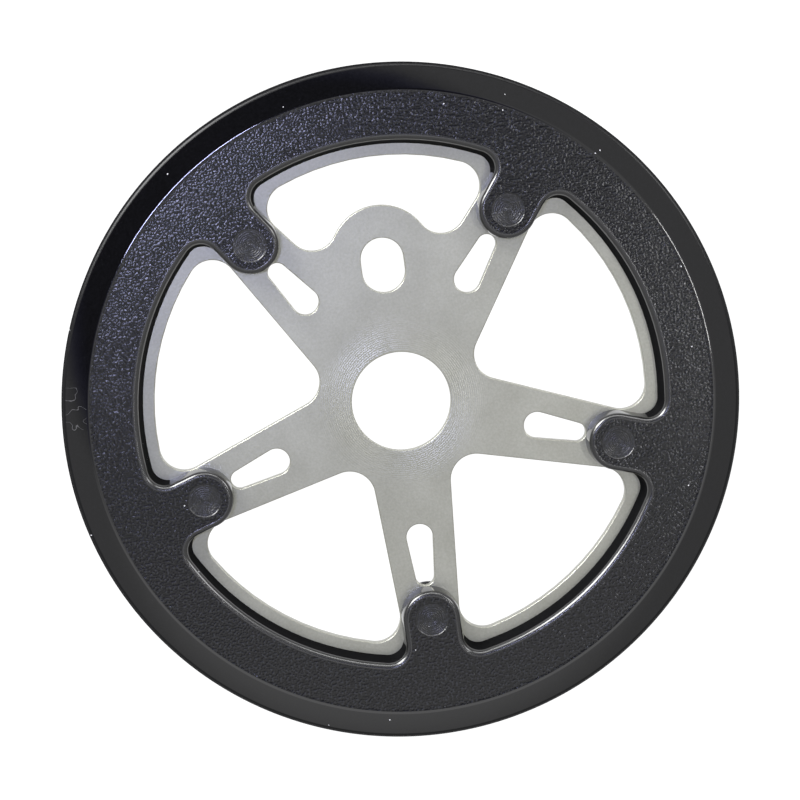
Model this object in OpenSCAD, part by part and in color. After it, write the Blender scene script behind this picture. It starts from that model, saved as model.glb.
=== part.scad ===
// Chainring with a moulded chain guard, for a one-piece crank.
// Units are millimetres. +Z points out of the guard side, +Y runs through the drive pin slot,
// and the origin lies on the crank axis halfway through the steel plate.

/* [Sprocket plate] */

// Number of teeth
teeth = 36; // [28:1:44]
// Chain pitch
pitch = 12.7; // [8:0.1:15]
// Radius of the roller seats between the teeth
seat_r = 3.95; // [3.5:0.05:4.3]
// Slope of the tooth flanks, from the line across the seat
flank_angle = 70; // [60:1:75]
// Thickness of the steel plate
plate_t = 3; // [2:0.1:4]
// Width of a tooth across its outer edge
tip_t = 1.5; // [1:0.1:2.5]
// Length over which the teeth thin towards their edge
tip_taper = 3.2; // [1:0.1:5]
// Radius of the crank bore
bore_r = 12.05; // [10:0.05:16]

/* [Spokes and windows] */

// Outer radius of the five windows
window_r = 59.75; // [55:0.05:62]
// Half width of a spoke, extended to the crank axis
spoke_half = 10.72; // [8:0.01:13]
// Taper of each spoke side, in degrees
spoke_taper = 3.75; // [0:0.05:8]
// Radius of the corners at the outside of a window
corner_r = 6; // [2:0.1:8]
// Radius of the round end of a window at the hub
root_r = 6.3; // [4:0.1:9]

/* [Slots in the spokes] */

// Distance of the wide end of a slot from the axis
slot_in = 33.65; // [30:0.05:38]
// Radius of the wide end
slot_in_r = 3.25; // [2:0.05:4]
// Distance of the narrow end of a slot from the axis
slot_out = 43.42; // [40:0.02:46]
// Radius of the narrow end
slot_out_r = 2.3; // [1.5:0.05:3]

/* [Drive pin] */

// Distance of the middle of the pin slot from the axis
pin_at = 33.4; // [28:0.1:38]
// Width of the pin slot
pin_w = 10.4; // [9:0.1:12]
// Length of the pin slot, along the spokes
pin_len = 13.3; // [11:0.1:16]
// Distance of the round hub lobe from the axis
hub_lobe_at = 35.5; // [30:0.1:40]
// Radius of the hub lobe
hub_lobe_r = 12.43; // [10:0.01:15]
// Radius of the hollow corners beside the hub lobe
hub_fillet_r = 6; // [3:0.1:8]

/* [Chain guard] */

// Outer radius of the guard at its rim
guard_r = 82; // [80:0.1:90]
// Radius of the inner edge where the guard stands on the plate
guard_in_r = 62.6; // [60:0.1:66]
// Height of the face over the front of the plate
guard_h = 6.4; // [5:0.1:9]
// Radius at which the flat face turns into the outer bevel
face_r = 75.3; // [70:0.1:79]
// Drop of the outer bevel
bevel_drop = 1.35; // [0.5:0.05:3]
// Rounding of the inner edge and of the lobe edges
lip_r = 1.2; // [0.5:0.1:2]
// Rounding of the outer edge
rim_r = 0.7; // [0.3:0.1:1.2]
// Draft of the moulded walls in degrees
draft = 6; // [0:0.5:10]
// Draft of the outer skirt in degrees
skirt_draft = 1; // [0:0.5:3]
// Wall thickness of the moulding
wall = 2.2; // [1.5:0.1:3]

/* [Guard lobes] */

// Distance of a lobe from the axis
lobe_at = 53.05; // [50:0.05:56]
// Radius of a lobe where it stands on the plate
lobe_r = 7.2; // [6:0.1:9]
// Radius of the hollow corners between lobe and ring
lobe_fillet = 4; // [2:0.1:6]
// Radius of the dimple on a lobe
dimple_r = 4.1; // [3:0.1:5]
// Depth of the dimple
dimple_d = 0.4; // [0.1:0.05:0.8]

/* [Fixings] */

// Radius of the screw thread
screw_r = 2; // [1.5:0.05:2.5]
// Radius of the thread root
screw_core_r = 1.5; // [1:0.05:2]
// Length of the screw under its head
screw_len = 8.6; // [6:0.1:10]
// Radius of the pan head
head_r = 4; // [3:0.1:5]
// Height of the pan head
head_h = 2.4; // [1.5:0.1:3]
// Radius of a washer
washer_r = 7.1; // [5:0.1:8]
// Radius of the hole in a washer
washer_hole_r = 2.65; // [2.2:0.05:3]
// Thickness of a washer
washer_t = 1.2; // [0.8:0.1:2]
// Play by which the lowest washer sits nearer the axis
washer_shift = 0.6; // [0:0.05:0.6]

/* [Hidden] */

$fn = 96;
// Step that keeps neighbouring surfaces apart where they would only touch
tiny = 0.03;

// Plate: pitch circle, tooth tips, faces
pitch_r = pitch / (2 * sin(180 / teeth));
tip_r = pitch * (0.6 + 1 / tan(180 / teeth)) / 2;
z_front = plate_t / 2;
z_back = -plate_t / 2;

// Spoke 1 stands at 126 degrees and the others follow clockwise
function spoke_angle(i) = 126 - 72 * (i - 1);
screw_hole_r = screw_r + 0.3;

// A window side leans by this angle from the middle line of the window
side = 36 + spoke_taper;
side_off = spoke_half * cos(spoke_taper);
// Middle of the round root of a window, on its middle line
root_at = (root_r + side_off) / sin(side);
// Middle of an outer corner: corner_r inside the rim and off the side
corner_at = window_r - corner_r;
corner_turn = side - asin((corner_r + side_off) / corner_at);
corner_x = corner_at * sin(corner_turn);
corner_y = corner_at * cos(corner_turn);

// Hollow corner between hub lobe and spoke side: it touches both
hub_gap = hub_lobe_r + hub_fillet_r;
hub_turn = side - asin((hub_fillet_r + side_off - hub_lobe_at * sin(side)) / hub_gap);
hub_x = hub_gap * sin(hub_turn);
hub_y = hub_lobe_at + hub_gap * cos(hub_turn);

// Sides of a tapered slot touch its two end circles at this angle
slot_lean = asin((slot_in_r - slot_out_r) / (slot_out - slot_in));

// Guard heights and the middle of the inner edge rounding
z_face = z_front + guard_h;
z_under = z_face - wall;
lip_z = z_face - lip_r;
lip_top = lip_z + lip_r * sin(draft);
lip_run = (lip_top - z_front) * tan(draft) + lip_r * cos(draft);
lip_foot = (lip_top - z_front) * tan(draft);
flat_in_r = guard_in_r + lip_run;

// Outer bevel, and the middle of the rounding that joins it to the skirt
bevel_a = atan2(bevel_drop, guard_r - face_r);
rim_reach = guard_r - rim_r / cos(skirt_draft) - face_r;
rim_top = z_face * cos(bevel_a) - rim_r - rim_reach * sin(bevel_a);
rim_z = rim_top / (cos(bevel_a) - sin(bevel_a) * tan(skirt_draft));
rim_x = guard_r - (rim_r + rim_z * sin(skirt_draft)) / cos(skirt_draft);
under_r = face_r - wall * tan(bevel_a / 2);
under_z = z_under - (guard_r - wall - under_r) * tan(bevel_a);

// Hollow corners between a lobe and the ring
fil_x = lobe_r + lobe_fillet;
fil_d = guard_in_r - lobe_fillet;
fil_y = sqrt(fil_d * fil_d - fil_x * fil_x);
fil_a = atan2(fil_y, fil_x);
lobe_out = guard_in_r + wall + 1;

// The moulding is drawn this far below its foot and then cut flat where it stands on the plate
sink = 0.5;
foot_run = sink * tan(draft);
under_run = sink * lip_foot / (z_under - z_front);

// A dimple is a shallow cap of this radius
cap_r = (dimple_r * dimple_r + dimple_d * dimple_d) / (2 * dimple_d);

// Seat of a screw head, and the reach of the screw into its lobe
head_seat = z_back - washer_t;
screw_end = head_seat + screw_len;
thread_pitch = 1.3;
turns = floor((screw_len - 1.6) / thread_pitch);
dome_h = 1.2;
dome_r = (head_r * head_r + dome_h * dome_h) / (2 * dome_h);

steel = [0.68, 0.68, 0.66];
black_plastic = [0.13, 0.13, 0.14];
zinc = [0.72, 0.73, 0.75];
black_steel = [0.07, 0.07, 0.08];

// Gap between two teeth: the roller seat and its two straight flanks
module tooth_gap() {
    fx = (seat_r - tiny) * sin(flank_angle);
    fy = pitch_r - (seat_r - tiny) * cos(flank_angle);
    rise = tip_r + 1.5 - fy;
    run = rise / tan(flank_angle);
    translate([0, pitch_r]) circle(r = seat_r);
    polygon([[-fx, fy], [fx, fy], [fx + run, fy + rise], [-fx - run, fy + rise]]);
}

// One window between two spokes, its middle line on +Y
module window() {
    tx = root_r * cos(side);
    ty = root_r * sin(side);
    cx = corner_r * cos(side);
    cy = corner_r * sin(side);
    far = window_r + 2;
    translate([0, root_at]) circle(r = root_r);
    translate([corner_x, corner_y]) circle(r = corner_r);
    translate([-corner_x, corner_y]) circle(r = corner_r);
    intersection() {
        circle(r = window_r);
        polygon([
            [-tx, root_at - ty],
            [tx, root_at - ty],
            [corner_x + cx, corner_y - cy],
            [corner_x, corner_y],
            [far * sin(corner_turn), far * cos(corner_turn)],
            [-far * sin(corner_turn), far * cos(corner_turn)],
            [-corner_x, corner_y],
            [-corner_x - cx, corner_y - cy]
        ]);
    }
}

// Metal that reaches into the window over the drive pin: a round lobe with hollow corners
module hub_lobe() {
    qx = hub_x + (hub_fillet_r + 2) * cos(side);
    qy = hub_y - (hub_fillet_r + 2) * sin(side);
    translate([0, hub_lobe_at]) circle(r = hub_lobe_r);
    difference() {
        polygon([
            [0, hub_lobe_at],
            [hub_x, hub_y],
            [qx, qy],
            [qx, 10],
            [-qx, 10],
            [-qx, qy],
            [-hub_x, hub_y]
        ]);
        translate([hub_x, hub_y]) circle(r = hub_fillet_r + tiny);
        translate([-hub_x, hub_y]) circle(r = hub_fillet_r + tiny);
    }
}

// Tapered slot along a spoke, wide end towards the hub
module spoke_slot() {
    c = cos(slot_lean);
    s = sin(slot_lean);
    translate([0, slot_in]) circle(r = slot_in_r);
    translate([0, slot_out]) circle(r = slot_out_r);
    polygon([
        [slot_in_r * c, slot_in + slot_in_r * s],
        [slot_out_r * c, slot_out + slot_out_r * s],
        [-slot_out_r * c, slot_out + slot_out_r * s],
        [-slot_in_r * c, slot_in + slot_in_r * s]
    ]);
}

// Oblong hole for the drive pin of the crank
module pin_slot() {
    r = pin_w / 2;
    half = (pin_len - pin_w) / 2;
    translate([0, pin_at - half]) circle(r = r);
    translate([0, pin_at + half]) circle(r = r);
    translate([-r, pin_at - half]) square([pin_w, 2 * half]);
}

// Outline of the stamped plate
module plate_outline() {
    difference() {
        circle(r = tip_r);
        for (i = [0 : teeth - 1])
            rotate(i * 360 / teeth) tooth_gap();
        difference() {
            window();
            hub_lobe();
        }
        for (i = [1 : 4])
            rotate(-72 * i) window();
        for (i = [1 : 5])
            rotate(spoke_angle(i) - 90) {
                spoke_slot();
                translate([0, lobe_at]) circle(r = screw_hole_r);
            }
        pin_slot();
        circle(r = bore_r);
    }
}

// Section of a disc that thins towards the tooth tips
module tooth_section() {
    out = tip_r + 0.2;
    polygon([
        [0, z_back],
        [tip_r - tip_taper, z_back],
        [out, -tip_t / 2],
        [out, tip_t / 2],
        [tip_r - tip_taper, z_front],
        [0, z_front]
    ]);
}

// Stamped steel sprocket with five slotted spokes
module chainring() {
    color(steel)
    intersection() {
        translate([0, 0, z_back]) linear_extrude(plate_t) plate_outline();
        rotate_extrude() tooth_section();
    }
}

// Section of the guard ring: inner wall, flat face, bevel and outer skirt
module ring_section() {
    bs = sin(bevel_a);
    bc = cos(bevel_a);
    translate([flat_in_r, lip_z]) circle(r = lip_r - tiny);
    translate([rim_x, rim_z]) circle(r = rim_r - tiny);
    polygon([
        [guard_in_r - foot_run, z_front - sink],
        [guard_in_r + lip_foot, lip_top],
        [flat_in_r, lip_z],
        [flat_in_r, z_face],
        [face_r, z_face],
        [rim_x + rim_r * bs, rim_z + rim_r * bc],
        [rim_x, rim_z],
        [rim_x + rim_r * cos(skirt_draft), rim_z + rim_r * sin(skirt_draft)],
        [guard_r, 0],
        [guard_r - wall, 0],
        [guard_r - wall, under_z],
        [under_r, z_under],
        [guard_in_r + wall + lip_foot, z_under],
        [guard_in_r + wall - under_run, z_front - sink]
    ]);
}

// Half section of a lobe, from x to its rounded edge, made smaller by d
module lobe_section(d, x) {
    translate([lobe_r - lip_run - d, lip_z - d]) circle(r = lip_r - tiny);
    polygon([
        [x, z_front - sink - d],
        [lobe_r + foot_run - d, z_front - sink - d],
        [lobe_r - lip_foot - d, lip_top - d],
        [lobe_r - lip_run - d, lip_z - d],
        [lobe_r - lip_run - d, z_face - d],
        [x, z_face - d]
    ]);
}

// Section of the hollow that rounds a corner between lobe and ring
module hollow_section() {
    r = lobe_fillet - 2 * tiny;
    difference() {
        polygon([
            [0, z_front - 2 * sink],
            [r - 2 * foot_run, z_front - 2 * sink],
            [r + lip_foot, lip_top],
            [r + lip_run, lip_z],
            [r + lip_run, z_face + 1],
            [0, z_face + 1]
        ]);
        translate([r + lip_run, lip_z]) circle(r = lip_r + tiny);
    }
}

// Hollow corner to the right of a lobe that stands on +Y
module lobe_corner() {
    out = guard_in_r + wall;
    difference() {
        translate([0, 0, z_front - sink - 3 * tiny]) linear_extrude(guard_h + sink)
            polygon([
                [lobe_r - 3, fil_y],
                [lobe_r - 3, out],
                [out * cos(fil_a), out * sin(fil_a)],
                [fil_x, fil_y]
            ]);
        translate([fil_x, fil_y, 0]) rotate_extrude() hollow_section();
    }
}

// Lobe on +Y: round end, straight neck and the two hollow corners
module lobe() {
    translate([0, lobe_at, 0]) rotate_extrude() lobe_section(tiny, 0);
    translate([0, lobe_out, 0]) rotate([90, 0, 0])
        linear_extrude(lobe_out - lobe_at) {
            lobe_section(2 * tiny, -1);
            mirror([1, 0]) lobe_section(2 * tiny, -1);
        }
    lobe_corner();
    mirror([1, 0, 0]) lobe_corner();
}

// Dimple on top of a lobe and blind hole for its screw
module lobe_cuts() {
    translate([0, lobe_at, z_face - dimple_d + cap_r]) sphere(r = cap_r);
    translate([0, lobe_at, z_front - 1])
        cylinder(r = screw_r + 0.05, h = screw_end + 0.3 - z_front + 1);
}

// Moulded chain guard with five fixing lobes
module chain_guard() {
    color(black_plastic)
    difference() {
        union() {
            rotate_extrude() ring_section();
            for (i = [1 : 5])
                rotate(spoke_angle(i) - 90) lobe();
        }
        for (i = [1 : 5])
            rotate(spoke_angle(i) - 90) lobe_cuts();
        translate([0, 0, -1]) cylinder(r = lobe_out + 2, h = z_front + 1);
    }
}

// Half section of a screw: domed pan head below, threaded shank above
module screw_section() {
    intersection() {
        translate([0, head_seat - head_h]) square([head_r, head_h]);
        translate([0, head_seat - head_h + dome_r]) circle(r = dome_r);
    }
    polygon(concat(
        [[0, head_seat - 0.5], [screw_core_r, head_seat - 0.5]],
        [for (k = [0 : 2 * turns])
            [k % 2 == 0 ? screw_core_r : screw_r, head_seat + k * thread_pitch / 2]],
        [[0.3, screw_end], [0, screw_end]]
    ));
}

// Self-tapping screw with a cross recess, driven from the back
module guard_screw(i) {
    color(zinc)
    rotate(spoke_angle(i) - 90) translate([0, lobe_at, 0])
        difference() {
            rotate_extrude() screw_section();
            translate([-2.1, -0.45, head_seat - head_h - 1]) cube([4.2, 0.9, 2.3]);
            translate([-0.45, -2.1, head_seat - head_h - 1]) cube([0.9, 4.2, 2.3]);
        }
}

// Flat washer between screw head and plate
module guard_washer(i) {
    shift = i == 4 ? washer_shift : 0;
    color(black_steel)
    rotate(spoke_angle(i) - 90) translate([0, lobe_at - shift, head_seat])
        rotate_extrude() translate([washer_hole_r, 0]) square([washer_r - washer_hole_r, washer_t]);
}

chainring();
chain_guard();
guard_screw(1);  // guard_screw_1
guard_screw(2);  // guard_screw_2
guard_screw(3);  // guard_screw_3
guard_screw(4);  // guard_screw_4
guard_screw(5);  // guard_screw_5
guard_washer(1);  // guard_washer_1
guard_washer(2);  // guard_washer_2
guard_washer(3);  // guard_washer_3
guard_washer(4);  // guard_washer_4
guard_washer(5);  // guard_washer_5
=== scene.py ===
import math

import bmesh
import bpy
import numpy as np
from mathutils import Matrix, Vector
from mathutils.geometry import tessellate_polygon


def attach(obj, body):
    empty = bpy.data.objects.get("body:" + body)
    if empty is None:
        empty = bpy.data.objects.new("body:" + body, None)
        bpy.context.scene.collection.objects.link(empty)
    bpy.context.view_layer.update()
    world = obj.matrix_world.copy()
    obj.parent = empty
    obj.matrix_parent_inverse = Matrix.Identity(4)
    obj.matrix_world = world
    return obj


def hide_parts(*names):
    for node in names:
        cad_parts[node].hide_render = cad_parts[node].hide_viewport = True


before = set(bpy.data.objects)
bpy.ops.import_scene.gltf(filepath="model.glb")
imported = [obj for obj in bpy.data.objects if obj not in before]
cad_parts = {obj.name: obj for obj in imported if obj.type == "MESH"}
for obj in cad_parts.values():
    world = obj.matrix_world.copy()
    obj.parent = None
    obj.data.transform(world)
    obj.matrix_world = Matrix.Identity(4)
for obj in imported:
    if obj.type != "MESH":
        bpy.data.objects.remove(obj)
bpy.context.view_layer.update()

# Sprocket plate. A stamped disc of 3 mm steel with five slotted spokes, a bore
# for the crank, an oblong hole for its drive pin and thirty-six teeth. It is
# pressed flat, tumbled and painted a satin light grey.
MM = 0.001
FIFTH = 72                 # degrees from one spoke to the next
SPOKES = [126 - FIFTH * k for k in range(5)]
Z_FRONT, Z_BACK = 1.5, -1.5
EDGE = 0.22                # rounding left on the sheared edges by tumbling
BORE_R = 12.05
WINDOW_R, SPOKE_HALF, SPOKE_TAPER = 59.75, 10.72, 3.75
CORNER_R, ROOT_R = 6.0, 6.3
SLOT_IN, SLOT_IN_R, SLOT_OUT, SLOT_OUT_R = 33.65, 3.25, 43.42, 2.3
PIN_AT, PIN_W, PIN_LEN = 33.4, 10.4, 13.3
HUB_AT, HUB_R, HUB_FILLET = 35.5, 12.43, 6.0
LOBE_AT, SCREW_HOLE_R = 53.05, 2.3
TEETH, PITCH_R, TIP_R, SEAT_R, FLANK = 36, 72.859, 76.389, 3.95, 70
TIP_T, TAPER_R = 1.5, 73.19
BODY_R = 66.0              # the toothed rim joins the body of the disc here
BODY_PARTS = 4             # parts of that circle under each tooth
TIP_POINTS = 4             # points along each half of a tooth's outer edge


def turned(points, degrees):
    """Points turned about the crank axis."""
    c, s = math.cos(math.radians(degrees)), math.sin(math.radians(degrees))
    return points @ np.array([[c, s], [-s, c]])


def outline(arcs, step=4.0):
    """Points and normals along a chain of arcs (x, y, r, from, to) joined by straight lines.

    A negative r is an arc that bulges into the opening."""
    at, out = [], []
    for x, y, r, a, b in arcs:
        n = max(2, int(abs(b - a) / step) + 1)
        t = np.radians(np.linspace(a, b, n))
        u = np.stack([np.cos(t), np.sin(t)], 1)
        at.append(np.array([x, y]) + abs(r) * u)
        out.append(np.sign(r) * u)
    at, out = np.vstack(at), np.vstack(out)
    new = np.linalg.norm(at - np.roll(at, 1, 0), axis=1) > 1e-4
    return at[new], out[new]


def circle(r, sides, x=0.0, y=0.0):
    """Points and normals of a round opening."""
    t = np.arange(sides) * 2 * math.pi / sides
    u = np.stack([np.cos(t), np.sin(t)], 1)
    return np.array([x, y]) + r * u, u


def placed(name, data):
    """New object in the scene."""
    thing = bpy.data.objects.new(name, data)
    bpy.context.scene.collection.objects.link(thing)
    return thing


class Shell:
    """Collects rings of points and the faces between them."""

    def __init__(self):
        self.points, self.faces, self.finish = [], [], []

    def ring(self, flat, z):
        start = len(self.points)
        z = np.broadcast_to(z, len(flat))
        self.points += [(x * MM, y * MM, h * MM) for (x, y), h in zip(flat, z)]
        return list(range(start, len(self.points)))

    def strip(self, upper, lower, finish=0):
        n = len(upper)
        for i in range(n):
            j = (i + 1) % n
            self.faces.append((upper[i], upper[j], lower[j], lower[i]))
        self.finish += [int(f) for f in np.broadcast_to(finish, n)]

    def fill(self, loops, up, finish=0):
        rings = [[Vector(self.points[i]) for i in loop] for loop in loops]
        index = [i for loop in loops for i in loop]
        for tri in tessellate_polygon([[p.to_2d().to_3d() for p in r] for r in rings]):
            a, b, c = (index[i] for i in tri)
            pa, pb, pc = (Vector(self.points[i]) for i in (a, b, c))
            area = (pb - pa).cross(pc - pa).z
            if abs(area) < 1e-16:
                continue
            self.faces.append((a, b, c) if (area > 0) == up else (a, c, b))
            self.finish.append(finish)

    def cap(self, loop, up, finish=0):
        self.faces.append(tuple(loop if up else loop[::-1]))
        self.finish.append(finish)

    def made(self, name, finishes, sharp=35):
        mesh = bpy.data.meshes.new(name)
        mesh.from_pydata(self.points, [], self.faces)
        for material in finishes:
            mesh.materials.append(material)
        mesh.polygons.foreach_set("material_index", self.finish)
        mesh.polygons.foreach_set("use_smooth", [True] * len(self.faces))
        mesh.set_sharp_from_angle(angle=math.radians(sharp))
        mesh.update()
        return placed(name, mesh)


def edge_profile(r, steps=3):
    """Offset and height of a rounded edge, from the flat inwards."""
    t = np.linspace(0, math.pi / 2, steps + 1)
    return [(r * (1 - math.sin(a)), r * (1 - math.cos(a))) for a in t]


side = math.radians(FIFTH / 2 + SPOKE_TAPER)
side_off = SPOKE_HALF * math.cos(math.radians(SPOKE_TAPER))
root_at = (ROOT_R + side_off) / math.sin(side)
corner_turn = side - math.asin((CORNER_R + side_off) / (WINDOW_R - CORNER_R))
corner_x = (WINDOW_R - CORNER_R) * math.sin(corner_turn)
corner_y = (WINDOW_R - CORNER_R) * math.cos(corner_turn)
hub_gap = HUB_R + HUB_FILLET
hub_turn = side - math.asin((HUB_FILLET + side_off - HUB_AT * math.sin(side)) / hub_gap)
hub_x, hub_rise = hub_gap * math.sin(hub_turn), hub_gap * math.cos(hub_turn)
lean, turn = math.degrees(side), math.degrees(corner_turn)
hub_lean = math.degrees(math.atan2(hub_rise, hub_x))
slot_lean = math.degrees(math.asin((SLOT_IN_R - SLOT_OUT_R) / (SLOT_OUT - SLOT_IN)))

far_side = [(corner_x, corner_y, CORNER_R, -lean, 90 - turn),
            (0, 0, WINDOW_R, 90 - turn, 90 + turn),
            (-corner_x, corner_y, CORNER_R, 90 + turn, 180 + lean)]
window = outline([(0, root_at, ROOT_R, 180 + lean, 360 - lean)] + far_side)
pin_window = outline([(-hub_x, HUB_AT + hub_rise, HUB_FILLET, 180 + lean, 360 - hub_lean),
                      (0, HUB_AT, -HUB_R, 180 - hub_lean, hub_lean),
                      (hub_x, HUB_AT + hub_rise, HUB_FILLET, 180 + hub_lean, 360 - lean)]
                     + far_side)
slot = outline([(0, SLOT_IN, SLOT_IN_R, 180 - slot_lean, 360 + slot_lean),
                (0, SLOT_OUT, SLOT_OUT_R, slot_lean, 180 - slot_lean)], 7)
half = (PIN_LEN - PIN_W) / 2
pin_hole = outline([(0, PIN_AT - half, PIN_W / 2, 180, 360),
                    (0, PIN_AT + half, PIN_W / 2, 0, 180)], 5)

openings = [pin_window, pin_hole, circle(BORE_R, 96)]
openings += [tuple(turned(a, -FIFTH * k) for a in window) for k in range(1, 5)]
openings += [tuple(turned(a, s - 90) for a in slot) for s in SPOKES]
openings += [tuple(turned(a, s - 90) for a in circle(SCREW_HOLE_R, 24, 0, LOBE_AT))
             for s in SPOKES]

disc = Shell()
rim_points = circle(BODY_R, TEETH * BODY_PARTS)[0]
front_loops = [disc.ring(rim_points, Z_FRONT)]
back_loops = [disc.ring(rim_points, Z_BACK)]
for at, out in openings:
    rings = [disc.ring(at + out * d, Z_FRONT - h) for d, h in edge_profile(EDGE)]
    rings += [disc.ring(at + out * d, Z_BACK + h) for d, h in edge_profile(EDGE)[::-1]]
    for upper, lower in zip(rings, rings[1:]):
        disc.strip(upper, lower)
    front_loops.append(rings[0])
    back_loops.append(rings[-1])
disc.fill(front_loops, True)
disc.fill(back_loops, False)

# one tooth gap of the rim, ten degrees wide, with half a tooth at either side
tooth = Shell()
pitch_turn = math.radians(360 / TEETH / 2)
fx = PITCH_R - SEAT_R * math.cos(math.radians(FLANK))
fy = SEAT_R * math.sin(math.radians(FLANK))
dx, dy = math.sin(math.radians(FLANK)), math.cos(math.radians(FLANK))


def flank_at(radius):
    """Point of a tooth flank at that distance from the crank axis."""
    along = fx * dx + fy * dy
    t = -along + math.sqrt(along ** 2 + radius ** 2 - fx ** 2 - fy ** 2)
    return fx + t * dx, fy + t * dy


seat = np.radians(np.linspace(-180 + FLANK, -180 - FLANK, 11))
seat = [(PITCH_R + SEAT_R * math.cos(a), SEAT_R * math.sin(a)) for a in seat]
tip = flank_at(TIP_R)
tip_turn = math.atan2(tip[1], tip[0])
tip_arc = [(TIP_R * math.cos(a), TIP_R * math.sin(a))
           for a in np.linspace(tip_turn, pitch_turn, TIP_POINTS)]
shoulder = flank_at(TAPER_R)
side_point = [TAPER_R * math.cos(pitch_turn), TAPER_R * math.sin(pitch_turn)]
root_arc = [(BODY_R * math.cos(a), BODY_R * math.sin(a))
            for a in np.linspace(-pitch_turn, pitch_turn, BODY_PARTS + 1)]
mirrored = [(x, -y) for x, y in tip_arc]
gap = mirrored[::-1] + [(shoulder[0], -shoulder[1])] + seat + [shoulder] + tip_arc
loops = {}
for face, z, tip_z in (("front", Z_FRONT, TIP_T / 2), ("back", Z_BACK, -TIP_T / 2)):
    tips = [tip_z] * TIP_POINTS
    edge = tooth.ring(np.array(gap), tips + [z] * (len(gap) - 2 * TIP_POINTS) + tips)
    root = tooth.ring(np.array(root_arc), z)
    low, high = tooth.ring(np.array([[side_point[0], -side_point[1]], side_point]), z)
    up = face == "front"
    tooth.cap(root[::-1] + [low] + edge[TIP_POINTS:-TIP_POINTS] + [high], not up)
    tooth.cap([low] + edge[:TIP_POINTS + 1], up)
    tooth.cap(edge[-TIP_POINTS - 1:] + [high], up)
    loops[face] = edge
front, back = loops["front"], loops["back"]
for i in range(len(gap) - 1):
    tooth.faces.append((front[i], back[i], back[i + 1], front[i + 1]))
    tooth.finish.append(0)


def colour(code):
    """Linear colour of an sRGB hex code."""
    parts = [int(code[i:i + 2], 16) / 255 for i in (1, 3, 5)]
    return [p / 12.92 if p <= 0.04045 else ((p + 0.055) / 1.055) ** 2.4 for p in parts] + [1.0]


def add(tree, kind, inputs=None, stops=(), **settings):
    """A node with its settings; inputs are values, or sockets to link.

    Stops are the positions and hex codes of a colour ramp."""
    node = tree.nodes.new(kind)
    for key, value in settings.items():
        setattr(node, key, value)
    for key, value in (inputs or {}).items():
        if isinstance(value, bpy.types.NodeSocket):
            tree.links.new(value, node.inputs[key])
        else:
            node.inputs[key].default_value = value
    for spare in stops[2:]:
        node.color_ramp.elements.new(0.5)
    for number, (place, code) in enumerate(stops):
        element = node.color_ramp.elements[number]
        element.position, element.color = place, colour(code)
    return node


def material_tree(name):
    """New material, its tree, its Principled shader and the object coordinates."""
    material = bpy.data.materials.new(name)
    material.use_nodes = True
    tree = material.node_tree
    place = add(tree, "ShaderNodeTexCoord").outputs["Object"]
    return material, tree, tree.nodes["Principled BSDF"], place


def dress(tree, shader, base, rough, height=None, strength=1.0, depth=0.0):
    """Joins base colour, roughness and relief (a depth in metres) to the shader."""
    tree.links.new(base, shader.inputs["Base Color"])
    tree.links.new(rough, shader.inputs["Roughness"])
    if height:
        bump = add(tree, "ShaderNodeBump",
                   {"Strength": strength, "Distance": depth, "Height": height})
        tree.links.new(bump.outputs["Normal"], shader.inputs["Normal"])


# Satin grey paint on tumbled steel: pale warm grey with a soft sheen and faint specks,
# and the marks of a turning tool round the bore
TOOL_MARK = 0.5            # mm from one turning mark to the next
paint, tree, shader, place = material_tree("satin_grey_paint_on_steel")
mottle = add(tree, "ShaderNodeTexNoise",
             {"Vector": place, "Scale": 1 / (11.111 * MM), "Detail": 4.0}).outputs["Fac"]
grit = add(tree, "ShaderNodeTexNoise",
           {"Vector": place, "Scale": 1 / (0.55556 * MM), "Detail": 2.0}).outputs["Fac"]
both = add(tree, "ShaderNodeMath", {0: mottle, 1: grit}, operation="ADD").outputs[0]
specks = add(tree, "ShaderNodeMath", {0: both, 1: 0.5}, operation="MULTIPLY").outputs[0]
base = add(tree, "ShaderNodeValToRGB", {"Fac": specks},
           stops=[(0.3, "#87877e"), (0.5, "#8f8f86"), (0.7, "#97978e")]).outputs["Color"]
rough = add(tree, "ShaderNodeMapRange",
            {"Value": mottle, "To Min": 0.3, "To Max": 0.38}).outputs["Result"]
from_axis = add(tree, "ShaderNodeVectorMath", {0: place}, operation="LENGTH").outputs["Value"]
near_bore = add(tree, "ShaderNodeMapRange",
                {"Value": from_axis, "From Min": 15 * MM, "From Max": 22 * MM,
                 "To Min": 0.5, "To Max": 0.0}).outputs["Result"]
phase = add(tree, "ShaderNodeMath", {0: from_axis, 1: 2 * math.pi / (TOOL_MARK * MM)},
            operation="MULTIPLY").outputs[0]
turns = add(tree, "ShaderNodeMath", {0: phase}, operation="SINE").outputs[0]
height = add(tree, "ShaderNodeMath", {0: turns, 1: near_bore, 2: grit},
             operation="MULTIPLY_ADD").outputs[0]
shader.inputs["Metallic"].default_value = 0.8
dress(tree, shader, base, rough, height, 0.5, 0.05 * MM)


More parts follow.
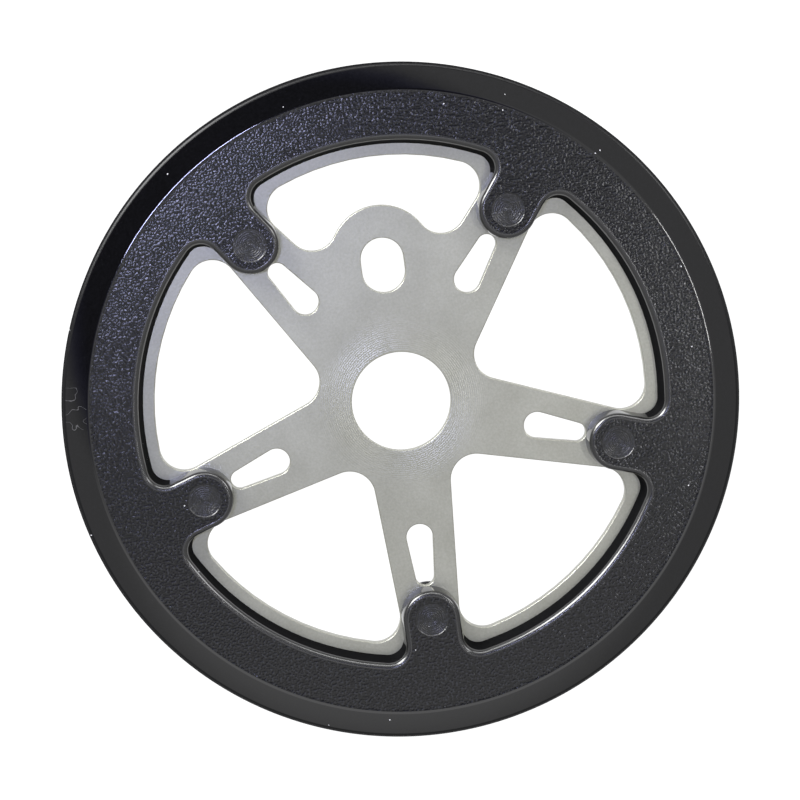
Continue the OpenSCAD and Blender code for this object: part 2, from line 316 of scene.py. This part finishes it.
def copies_in_a_ring(name, source, body, material, count, radius=0.0, first=0.0, step=0.0,
                     slip=0.0, slip_index=0, merge=1e-7):
    """Geometry Nodes: copies of source round the crank axis, joined with body, as a plain mesh.

    The copy with the slip index lies nearer the axis by the slip."""
    group = bpy.data.node_groups.new(name + "_nodes", "GeometryNodeTree")
    ports = {}
    for label, kind in (("Geometry", "Geometry"), ("Source", "Object"), ("Count", "Int"),
                        ("Radius", "Float"), ("First angle", "Float"), ("Step angle", "Float"),
                        ("Slip", "Float"), ("Slip index", "Int"), ("Merge distance", "Float"),
                        ("Material", "Material")):
        ports[label] = group.interface.new_socket(
            label, in_out="INPUT", socket_type="NodeSocket" + kind).identifier
    group.interface.new_socket("Geometry", in_out="OUTPUT", socket_type="NodeSocketGeometry")
    entry = group.nodes.new("NodeGroupInput").outputs
    index = add(group, "GeometryNodeInputIndex").outputs[0]
    angle = add(group, "ShaderNodeMath",
                {0: index, 1: entry["Step angle"], 2: entry["First angle"]},
                operation="MULTIPLY_ADD").outputs[0]
    slipped = add(group, "FunctionNodeCompare", {2: index, 3: entry["Slip index"]},
                  data_type="INT", operation="EQUAL").outputs[0]
    less = add(group, "ShaderNodeMath", {0: slipped, 1: entry["Slip"]},
               operation="MULTIPLY").outputs[0]
    reach = add(group, "ShaderNodeMath", {0: entry["Radius"], 1: less},
                operation="SUBTRACT").outputs[0]
    cosine = add(group, "ShaderNodeMath", {0: angle}, operation="COSINE").outputs[0]
    sine = add(group, "ShaderNodeMath", {0: angle}, operation="SINE").outputs[0]
    x = add(group, "ShaderNodeMath", {0: cosine, 1: reach}, operation="MULTIPLY").outputs[0]
    y = add(group, "ShaderNodeMath", {0: sine, 1: reach}, operation="MULTIPLY").outputs[0]
    spot = add(group, "ShaderNodeCombineXYZ", {"X": x, "Y": y}).outputs[0]
    points = add(group, "GeometryNodePoints",
                 {"Count": entry["Count"], "Position": spot}).outputs[0]
    euler = add(group, "ShaderNodeCombineXYZ", {"Z": angle}).outputs[0]
    rotation = add(group, "FunctionNodeEulerToRotation", {0: euler}).outputs[0]
    shape = add(group, "GeometryNodeObjectInfo", {"Object": entry["Source"]}).outputs["Geometry"]
    spread = add(group, "GeometryNodeInstanceOnPoints",
                 {"Points": points, "Instance": shape, "Rotation": rotation}).outputs[0]
    real = add(group, "GeometryNodeRealizeInstances", {0: spread}).outputs[0]
    joined = group.nodes.new("GeometryNodeJoinGeometry")
    group.links.new(real, joined.inputs[0])
    group.links.new(entry["Geometry"], joined.inputs[0])
    merged = add(group, "GeometryNodeMergeByDistance",
                 {"Geometry": joined.outputs[0], "Distance": entry["Merge distance"]}).outputs[0]
    dressed = add(group, "GeometryNodeSetMaterial",
                  {"Geometry": merged, "Material": entry["Material"]}).outputs[0]
    group.links.new(dressed, group.nodes.new("NodeGroupOutput").inputs[0])
    modifier = body.modifiers.new(name, "NODES")
    modifier.node_group = group
    for label, value in (("Source", source), ("Count", count), ("Radius", radius),
                         ("First angle", first), ("Step angle", step), ("Slip", slip),
                         ("Slip index", slip_index), ("Merge distance", merge),
                         ("Material", material)):
        modifier[ports[label]] = value
    bpy.context.view_layer.update()
    graph = bpy.context.evaluated_depsgraph_get()
    mesh = bpy.data.meshes.new_from_object(body.evaluated_get(graph), depsgraph=graph)
    body.modifiers.remove(modifier)
    old = body.data
    body.data = mesh
    mesh.name = body.name = name
    bpy.data.meshes.remove(old)
    bpy.data.objects.remove(source)
    return body


def outward(thing, sharp=35):
    """Faces pointing out of the closed mesh; level faces flat, the rest smooth up to an angle."""
    work = bmesh.new()
    work.from_mesh(thing.data)
    bmesh.ops.recalc_face_normals(work, faces=work.faces)
    work.to_mesh(thing.data)
    work.free()
    level = [abs(face.normal.z) > 0.9999 for face in thing.data.polygons]
    thing.data.set_sharp_from_angle(angle=math.radians(sharp))
    thing.data.polygons.foreach_set("use_smooth", [not flat for flat in level])


plate = disc.made("sprocket_disc", [paint])
gap_piece = tooth.made("tooth_gap", [paint])
plate = copies_in_a_ring("sprocket_plate", gap_piece, plate, paint, TEETH,
                         step=2 * math.pi / TEETH, merge=2e-6)
outward(plate)
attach(plate, "root")
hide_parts("chainring")

# Chain guard. A ring of black polypropylene, injection moulded hollow, whose
# five lobes reach in along the spokes. Its flat face and lobes carry a fine
# moulded grain; the bevel, the walls and the rounded inner edge are smooth.
GUARD_IN, LOBE_R, LOBE_FILLET = 62.5, 7.2, 4.0
Z_FACE, GRAIN_DROP, GRAIN_EDGE = 7.9, 0.05, 0.15
RING_DRAFT, RING_LIP = 10.5, 1.35
LOBE_DRAFT, LOBE_LIP = 2.5, 1.2
LOBE_END = 57.5            # distance from the axis at which a lobe starts to turn into the ring
FACE_R, BEVEL_DROP, GUARD_R, RIM_R = 75.3, 1.35, 82.0, 1.3
CROWN = 0.55               # width over which the flat face rounds into the bevel
SKIRT_SPREAD = 0.1         # the skirt widens this much towards its foot
RIM_STEPS = 8
WALL = 2.2
DIMPLE_R = 4.1
GRAINED, SMOOTH, TURNED, MATTE, BURNISHED, SATIN, POLISHED = range(7)

fil_x = LOBE_R + LOBE_FILLET
fil_y = math.sqrt((GUARD_IN - LOBE_FILLET) ** 2 - fil_x ** 2)
fil_turn = math.degrees(math.atan2(fil_y, fil_x))
one_lobe = [(0, 0, GUARD_IN, 90 - FIFTH / 2, fil_turn),
            (fil_x, fil_y, LOBE_FILLET, fil_turn, 180),
            (0, LOBE_AT, -LOBE_R, 0, -180),
            (-fil_x, fil_y, LOBE_FILLET, 0, 180 - fil_turn),
            (0, 0, GUARD_IN, 180 - fil_turn, 90 + FIFTH / 2)]
arcs_at, arcs_out = outline(one_lobe, 2.5)
inner_at = np.vstack([turned(arcs_at, s - 90) for s in SPOKES[::-1]])
inner_out = np.vstack([turned(arcs_out, s - 90) for s in SPOKES[::-1]])
keep = np.linalg.norm(inner_at - np.roll(inner_at, 1, 0), axis=1) > 1e-3
inner_at, inner_out = inner_at[keep], inner_out[keep]

# how far each point belongs to the ring (1) and not to a lobe (0)
reach = np.linalg.norm(inner_at, axis=1)
on_ring = np.clip((reach - LOBE_END) / (GUARD_IN - LOBE_END), 0, 1)
on_ring = on_ring * on_ring * (3 - 2 * on_ring)
draft = np.radians(LOBE_DRAFT + (RING_DRAFT - LOBE_DRAFT) * on_ring)
lip = LOBE_LIP + (RING_LIP - LOBE_LIP) * on_ring
lip_end = lip * np.cos(draft) + (Z_FACE - lip * (1 - np.sin(draft)) - Z_FRONT) * np.tan(draft)

guard = Shell()
foot = guard.ring(inner_at, Z_FRONT)
rings = []
for share in np.linspace(0, 1, 9):
    a = draft + (math.pi / 2 - draft) * share
    off = lip_end - lip * np.cos(a)
    rings.append(guard.ring(inner_at + inner_out * off[:, None],
                            Z_FACE - lip * (1 - np.sin(a))))
step_at = inner_at + inner_out * (lip_end + GRAIN_EDGE)[:, None]
grain_edge = guard.ring(step_at, Z_FACE - GRAIN_DROP)
rings.append(grain_edge)
guard.strip(rings[0], foot, np.where(on_ring > 0.3, MATTE, SMOOTH))
for lower, upper in zip(rings, rings[1:]):
    guard.strip(upper, lower, BURNISHED)

# outer side, from the edge of the grain over crown, bevel and rim to the foot of the skirt
bevel = math.atan2(BEVEL_DROP, GUARD_R - FACE_R)
rim_x = GUARD_R - RIM_R - SKIRT_SPREAD
rim_z = (Z_FACE - (rim_x - FACE_R - CROWN / 2) * math.tan(bevel)
         - RIM_R / math.cos(bevel))
crown = (0, 0.2, 0.4, 0.6, 0.8, 1)
profile = [(FACE_R - 0.6, Z_FACE - GRAIN_DROP), (FACE_R - 0.1, Z_FACE - 0.005)]
profile += [(FACE_R + CROWN * t, Z_FACE - CROWN * t * t / 2 * math.tan(bevel)) for t in crown]
profile += [(rim_x + RIM_R * math.sin(a), rim_z + RIM_R * math.cos(a))
            for a in np.linspace(bevel, math.radians(89), RIM_STEPS + 1)]
profile += [(GUARD_R - 0.01, 0.3), (GUARD_R - 0.1, 0.08), (GUARD_R - 0.3, 0.0)]
# hollow back, from the foot of the skirt over the underside of the face to the plate
under, shell_out, shell_in = Z_FACE - WALL, GUARD_R - WALL, GUARD_IN + WALL
profile += [(shell_out, 0.0), (shell_out, under - 1.2), (shell_out - 0.6, under - 0.75),
            (FACE_R - 0.2, under), (shell_in + 1.1, under), (shell_in + 0.6, under - 0.5),
            (shell_in, Z_FRONT)]
outer = [guard.ring(circle(r, 240)[0], z) for r, z in profile]
finishes = [GRAINED] + [POLISHED] * len(crown) + [SMOOTH] + [SATIN] * (RIM_STEPS // 2)
finishes += [MATTE] * (len(outer) - 1 - len(finishes))
for finish, upper, lower in zip(finishes, outer, outer[1:]):
    guard.strip(lower, upper, finish)
guard.fill([outer[-1], foot], False, MATTE)

# dimple over each screw, left by the core pin that forms the blind hole: radius and depth
dimple = [(DIMPLE_R, -GRAIN_DROP), (3.98, -0.09), (3.85, -0.18), (3.6, -0.23), (3.4, -0.22),
          (3.2, -0.26), (2.6, -0.35), (1.9, -0.43), (1.2, -0.48), (0.62, -0.50), (0.45, -0.46),
          (0.2, -0.44)]
lobe_centres = [turned(np.array([[LOBE_AT, 0.0]]), s)[0] for s in SPOKES]
dimple_edges = []
for cx, cy in lobe_centres:
    circles = [guard.ring(circle(r, 64, cx, cy)[0], Z_FACE + h) for r, h in dimple]
    for upper, lower in zip(circles, circles[1:]):
        guard.strip(upper, lower, TURNED)
    guard.cap(circles[-1], True, TURNED)
    dimple_edges.append(circles[0])
guard.fill([outer[0], grain_edge] + dimple_edges, True, GRAINED)

DUST_CELL, DUST_R, DUST_FROM = 4.1667, 0.175, 0.66     # one speck a cell, in a third of them
SCUFF_AT, SCUFF_R = (-78.6, 9.6, 6.6), 5.5             # scuffed spot of the bevel, mm
RING_STEP = 0.5                                        # mm from one turned ring to the next


def moulded_black(name, gloss, grain=0.0, rings=0.0, shine=0.5, scuffed=False):
    """Black polypropylene with dust specks; grain and rings are the strength of its relief."""
    material, tree, shader, place = material_tree(name)
    dust = add(tree, "ShaderNodeTexVoronoi",
               {"Vector": place, "Scale": 1 / (DUST_CELL * MM), "Randomness": 1.0}).outputs
    near = add(tree, "ShaderNodeMath", {0: dust["Distance"], 1: DUST_R / DUST_CELL},
               operation="LESS_THAN").outputs[0]
    picked = add(tree, "ShaderNodeMath", {0: dust["Color"], 1: DUST_FROM},
                 operation="GREATER_THAN").outputs[0]
    speck = add(tree, "ShaderNodeMath", {0: near, 1: picked}, operation="MULTIPLY").outputs[0]
    if scuffed:
        trails = add(tree, "ShaderNodeTexNoise",
                     {"Vector": place, "Scale": 1 / (3.125 * MM), "Detail": 1.0}).outputs["Fac"]
        line = add(tree, "ShaderNodeMath", {0: trails, 1: 0.5, 2: 0.008},
                   operation="COMPARE").outputs[0]
        apart = add(tree, "ShaderNodeVectorMath", {0: place, 1: [c * MM for c in SCUFF_AT]},
                    operation="DISTANCE").outputs["Value"]
        inside = add(tree, "ShaderNodeMath", {0: apart, 1: SCUFF_R * MM},
                     operation="LESS_THAN").outputs[0]
        faint = add(tree, "ShaderNodeMath", {0: line, 1: 0.1}, operation="MULTIPLY").outputs[0]
        scuff = add(tree, "ShaderNodeMath", {0: faint, 1: inside}, operation="MULTIPLY").outputs[0]
        speck = add(tree, "ShaderNodeMath", {0: speck, 1: scuff}, operation="MAXIMUM").outputs[0]
    cells = add(tree, "ShaderNodeTexNoise",
                {"Vector": place, "Scale": 1 / (0.52 * MM), "Detail": 0.5,
                 "Roughness": 0.4}).outputs["Fac"]
    base = add(tree, "ShaderNodeValToRGB", {"Fac": cells},
               stops=[(0.4, "#050506"), (0.55, "#0c0c0e"), (0.7, "#1c1d22")] if grain
               else [(0.3, "#060607"), (0.7, "#09090b")]).outputs["Color"]
    tone = add(tree, "ShaderNodeMix", {"Factor": speck, 6: base, 7: colour("#b4b4b8")},
               data_type="RGBA").outputs[2]
    if grain:
        relief, depth = cells, grain * MM
    else:
        waves = add(tree, "ShaderNodeTexNoise",
                    {"Vector": place, "Scale": 1 / (7.1429 * MM), "Detail": 1.0})
        relief, depth = waves.outputs["Fac"], 0.02 * MM
    if rings:
        spot = add(tree, "ShaderNodeAttribute", attribute_name="lobe_distance").outputs["Fac"]
        phase = add(tree, "ShaderNodeMath", {0: spot, 1: 2 * math.pi / RING_STEP},
                    operation="MULTIPLY").outputs[0]
        wave = add(tree, "ShaderNodeMath", {0: phase}, operation="SINE").outputs[0]
        relief = add(tree, "ShaderNodeMath", {0: wave, 1: rings, 2: relief},
                     operation="MULTIPLY_ADD").outputs[0]
    shader.inputs["IOR"].default_value = 1.5
    shader.inputs["Specular IOR Level"].default_value = shine
    cloud = add(tree, "ShaderNodeTexNoise",
                {"Vector": place, "Scale": 1 / (16.667 * MM), "Detail": 3.0}).outputs["Fac"]
    rough = add(tree, "ShaderNodeMapRange",
                {"Value": cloud, "To Min": gloss, "To Max": gloss + 0.03}).outputs["Result"]
    dress(tree, shader, tone, rough, relief, 1.0, depth)
    return material


guard_finishes = [
    # fine grain etched into the mould, on the flat face and the lobes
    moulded_black("grained_black_polypropylene", 0.15, grain=0.08, shine=0.34),
    # polished mould: bevel and lobe walls, with a few scuffs
    moulded_black("smooth_black_polypropylene", 0.05, scuffed=True),
    # marks of the turned core pins, in the dimples
    moulded_black("turned_black_polypropylene", 0.26, grain=0.08, rings=0.3),
    # dull walls: inner wall of the ring, skirt and hollow back
    moulded_black("matte_black_polypropylene", 0.6, shine=0.02),
    # rounded inner edge, rubbed shiny
    moulded_black("burnished_black_polypropylene", 0.22, shine=0.8),
    # rounded outer rim
    moulded_black("satin_black_polypropylene", 0.3, shine=0.2),
    # crown between flat face and bevel, polished by handling
    moulded_black("polished_black_polypropylene", 0.05, shine=0.75)]
guard = guard.made("guard_ring", guard_finishes, 30)
outward(guard, 30)
centres = np.array(lobe_centres) * MM
places = np.array([v.co for v in guard.data.vertices])[:, :2]
away = np.linalg.norm(places[:, None] - centres[None], axis=2).min(1) / MM
guard.data.attributes.new("lobe_distance", "FLOAT", "POINT").data.foreach_set("value", away)
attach(guard, "root")
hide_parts("chain_guard")

# Washers. Five blackened steel washers behind the spoke ends spread the load of
# the screws; the lowest one has slipped towards the crank by its play and just
# shows through the end of its slot.
WASHER_R, WASHER_HOLE, WASHER_T, WASHER_SLIP = 7.1, 2.65, 1.2, 0.6
LOWEST = SPOKES.index(-90)
SEAT_Z = Z_BACK - WASHER_T

# Black oxide on steel: nearly black, rubbed a little lighter in spots
black_oxide, tree, shader, place = material_tree("black_oxide_on_steel")
rub = add(tree, "ShaderNodeTexNoise",
          {"Vector": place, "Scale": 1 / (1.4286 * MM), "Detail": 3.0}).outputs["Fac"]
base = add(tree, "ShaderNodeValToRGB", {"Fac": rub}, stops=[(0.4, "#17171a"), (0.75, "#2a2a2e")])
tree.links.new(base.outputs["Color"], shader.inputs["Base Color"])
shader.inputs["Metallic"].default_value = 0.6
shader.inputs["Roughness"].default_value = 0.42

# section of a washer, from its hole outwards; the punch leaves its edges broken
washer = Shell()
section = [(WASHER_HOLE, Z_BACK - 0.15), (WASHER_HOLE + 0.15, Z_BACK), (WASHER_R - 0.2, Z_BACK),
           (WASHER_R, Z_BACK - 0.2), (WASHER_R, SEAT_Z + 0.1), (WASHER_R - 0.1, SEAT_Z),
           (WASHER_HOLE + 0.15, SEAT_Z), (WASHER_HOLE, SEAT_Z + 0.15)]
rings = [washer.ring(circle(r, 72)[0], z) for r, z in section]
for upper, lower in zip(rings, rings[1:] + rings[:1]):
    washer.strip(lower, upper)
washer = washer.made("washer", [black_oxide])
washers = placed("washers", bpy.data.meshes.new("washers"))
washers = copies_in_a_ring("guard_washers", washer, washers, black_oxide, len(SPOKES),
                           radius=LOBE_AT * MM, first=math.radians(SPOKES[0]),
                           step=math.radians(-FIFTH), slip=WASHER_SLIP * MM, slip_index=LOWEST)
outward(washers)
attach(washers, "root")
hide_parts(*["guard_washer_%d" % i for i in range(1, 6)])

# Screws. Zinc plated self-tapping screws with domed pan heads and cross
# recesses, driven from the back through washer and plate into the lobes.
SCREW_R, CORE_R, SCREW_LEN, POINT_R = 2.0, 1.5, 8.6, 0.3
HEAD_R, HEAD_H, DOME_H, HEAD_EDGE = 4.0, 2.4, 1.2, 0.15
RECESS_DEPTH, RECESS_HALF, RECESS_REACH = 1.3, 0.45, 2.1
RECESS_WALL, RECESS_RUN = 0.15, 0.5    # width of the sloping walls: along an arm, at its end
THREAD, THREAD_STEP, RUN_OUT = 1.3, 0.16, 0.6
SCREW_SIDES = 48

# Bright zinc plating: pale bluish metal, a little cloudy
zinc, tree, shader, place = material_tree("bright_zinc_plating")
cloud = add(tree, "ShaderNodeTexNoise",
            {"Vector": place, "Scale": 1 / (2.5 * MM), "Detail": 3.0}).outputs["Fac"]
base = add(tree, "ShaderNodeValToRGB", {"Fac": cloud},
           stops=[(0.35, "#9fa3a8"), (0.7, "#c6c8c9")]).outputs["Color"]
rough = add(tree, "ShaderNodeMapRange",
            {"Value": cloud, "To Min": 0.22, "To Max": 0.4}).outputs["Result"]
shader.inputs["Metallic"].default_value = 1.0
dress(tree, shader, base, rough)

screw = Shell()
dome_r = (HEAD_R ** 2 + DOME_H ** 2) / (2 * DOME_H)
spin = np.arange(SCREW_SIDES) * 2 * math.pi / SCREW_SIDES
head_bottom = SEAT_Z - HEAD_H


def recess(x, y):
    """Depth of the cross recess at a point of the head."""
    arm = max(min(abs(x), RECESS_REACH), min(abs(y), RECESS_REACH))
    across = min(abs(x), abs(y))
    if arm >= RECESS_REACH or across > RECESS_HALF + RECESS_WALL:
        return 0.0
    return RECESS_DEPTH * min(1.0, (RECESS_HALF + RECESS_WALL - across) / RECESS_WALL,
                              (RECESS_REACH - arm) / RECESS_RUN)


rings = []
for r in [0.15, 0.3, 0.45, 0.6, 0.8, 1.0, 1.3, 1.6, 1.85, 2.1, 2.5, 3.0, 3.5, 3.85, 4.0]:
    flat = circle(r, SCREW_SIDES)[0]
    z = [head_bottom + dome_r - math.sqrt(dome_r ** 2 - r * r) + recess(px, py)
         for px, py in flat]
    rings.append(screw.ring(flat, z))
for r, z in ((HEAD_R, SEAT_Z - HEAD_EDGE), (HEAD_R - HEAD_EDGE, SEAT_Z), (CORE_R, SEAT_Z)):
    rings.append(screw.ring(circle(r, SCREW_SIDES)[0], z))
for z in np.arange(SEAT_Z + 0.1, SEAT_Z + SCREW_LEN - 0.9, THREAD_STEP):
    phase = (z / THREAD - spin / (2 * math.pi)) % 1.0
    crest = np.clip(1 - np.abs(phase - 0.5) * 4.5, 0, 1)
    begun = np.clip((z - SEAT_Z) / RUN_OUT, 0, 1)
    left = np.clip((SEAT_Z + SCREW_LEN - 1 - z) / RUN_OUT, 0, 1)
    r = CORE_R + (SCREW_R - CORE_R) * crest * (begun * left)
    rings.append(screw.ring(np.stack([r * np.cos(spin), r * np.sin(spin)], 1), z))
rings.append(screw.ring(circle(POINT_R, SCREW_SIDES)[0], SEAT_Z + SCREW_LEN))
for lower, upper in zip(rings, rings[1:]):
    screw.strip(lower, upper)
screw.cap(rings[0], False)
screw.cap(rings[-1], True)
screw = screw.made("screw", [zinc])
screws = placed("screws", bpy.data.meshes.new("screws"))
screws = copies_in_a_ring("guard_screws", screw, screws, zinc, len(SPOKES),
                          radius=LOBE_AT * MM, first=math.radians(SPOKES[0]),
                          step=math.radians(-FIFTH))
outward(screws)
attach(screws, "root")
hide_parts(*["guard_screw_%d" % i for i in range(1, 6)])

# Studio. The part lies on its screw heads on a white table and is seen from
# above through a long lens; soft pale surroundings, darker behind the camera.
TABLE = 6.0                # half the width of the table, m
TABLE_LIGHT, TABLE_SHARE = 1.12, 0.9       # its own light, and its share in what is seen
table_z = (SEAT_Z - HEAD_H) * MM
table_top = bpy.data.meshes.new("table_top")
table_top.from_pydata([(-TABLE, -TABLE, table_z), (TABLE, -TABLE, table_z),
                       (TABLE, TABLE, table_z), (-TABLE, TABLE, table_z)], [], [(0, 1, 2, 3)])
table = placed("table", table_top)

# White board that looks evenly white to the camera and in reflections, and takes shadows
board = bpy.data.materials.new("white_table_board")
board.use_nodes = True
tree = board.node_tree
tree.nodes.clear()
path = add(tree, "ShaderNodeLightPath").outputs
seen = add(tree, "ShaderNodeMath", {0: path["Is Camera Ray"], 1: path["Is Glossy Ray"]},
           operation="MAXIMUM").outputs[0]
seen = add(tree, "ShaderNodeMath", {0: seen, 1: path["Is Transmission Ray"]},
           operation="MAXIMUM").outputs[0]
share = add(tree, "ShaderNodeMath", {0: seen, 1: TABLE_SHARE}, operation="MULTIPLY").outputs[0]
matte = add(tree, "ShaderNodeBsdfDiffuse", {"Color": colour("#e6e6e6")}).outputs[0]
glow = add(tree, "ShaderNodeEmission",
           {"Color": colour("#ffffff"), "Strength": TABLE_LIGHT}).outputs[0]
mix = add(tree, "ShaderNodeMixShader", {0: share, 1: matte, 2: glow}).outputs[0]
tree.links.new(mix, tree.nodes.new("ShaderNodeOutputMaterial").inputs["Surface"])
table_top.materials.append(board)

CAMERA_AT = Vector((-31.18, 84.52, 720.88)) * MM
RIGHT = Vector((0.989389, -0.133201, 0.058027))
UP = Vector((0.138912, 0.984273, -0.109134))
BACK = Vector((-0.042578, 0.116036, 0.992332))
LAMP_AT = 0.9              # distance of every lamp from the part, m

camera = placed("camera", bpy.data.cameras.new("camera"))
camera.data.sensor_width = 36
camera.data.lens = 134.48
camera.data.clip_start, camera.data.clip_end = 0.05, 50
camera.rotation_mode = "QUATERNION"
camera.location = CAMERA_AT
camera.rotation_quaternion = Matrix((RIGHT, UP, BACK)).transposed().to_quaternion()
bpy.context.scene.camera = camera


def softbox(name, right, up, back, length, width, roll, watts, tint="#ffffff"):
    """Lamp that looks at the part from a direction in the camera's axes.

    Its length is rolled by that many degrees from the camera's right."""
    toward = (RIGHT * right + UP * up + BACK * back).normalized()
    lamp = bpy.data.lights.new(name, "AREA")
    lamp.shape, lamp.size, lamp.size_y, lamp.energy = "RECTANGLE", length, width, watts
    lamp.color = colour(tint)[:3]
    thing = placed(name, lamp)
    thing.location = toward * LAMP_AT
    along = RIGHT * math.cos(math.radians(roll)) + UP * math.sin(math.radians(roll))
    across = toward.cross(along).normalized()
    thing.rotation_euler = Matrix((across.cross(toward), across, toward)).transposed().to_euler()


softbox("key_lamp", -0.61, 0.55, 0.57, length=0.5, width=0.5, roll=0, watts=18.0)
softbox("side_lamp", 0.72, 0.37, 0.59, length=0.3, width=0.3, roll=0, watts=2.5)
softbox("top_strip", 0.1, 0.8, 0.55, length=0.8, width=0.2, roll=0, watts=4.0)
softbox("flash", -0.114, 0.011, 1.0, length=0.17, width=0.028, roll=45, watts=1.6,
        tint="#ccd0ff")
softbox("window_strip", 0.424, -0.094, 1.0, length=0.13, width=0.016, roll=112, watts=0.4)

surroundings = bpy.data.worlds.new("surroundings")
bpy.context.scene.world = surroundings
surroundings.use_nodes = True
tree = surroundings.node_tree
tree.nodes.clear()
way = add(tree, "ShaderNodeTexCoord").outputs["Generated"]


def glow_towards(right, up, inner, outer, low, high):
    """Brightness that runs from low near a direction, given in the camera's axes, to high.

    Inner and outer are the cosines of the angles between which it changes."""
    centre = (RIGHT * right + UP * up + BACK).normalized()
    near = add(tree, "ShaderNodeVectorMath", {0: way, 1: centre},
               operation="DOT_PRODUCT").outputs["Value"]
    return add(tree, "ShaderNodeMapRange",
               {"Value": near, "From Min": inner, "From Max": outer, "To Min": low,
                "To Max": high}, interpolation_type="SMOOTHSTEP").outputs["Result"]


dark_room = glow_towards(-0.14, 0.05, inner=0.9604, outer=0.905, low=0.003, high=0.74)
bright_wall = glow_towards(0.1, -0.5, inner=0.98, outer=0.9, low=0.6, high=0.0)
level = add(tree, "ShaderNodeMath", {0: dark_room, 1: bright_wall}, operation="ADD").outputs[0]
tint = add(tree, "ShaderNodeValToRGB", {"Fac": level},
           stops=[(0.0, "#8f8fff"), (0.5, "#ffffff")]).outputs["Color"]
sky = add(tree, "ShaderNodeBackground", {"Color": tint, "Strength": level}).outputs[0]
tree.links.new(sky, tree.nodes.new("ShaderNodeOutputWorld").inputs["Surface"])

bpy.context.scene.view_settings.view_transform = "Standard"
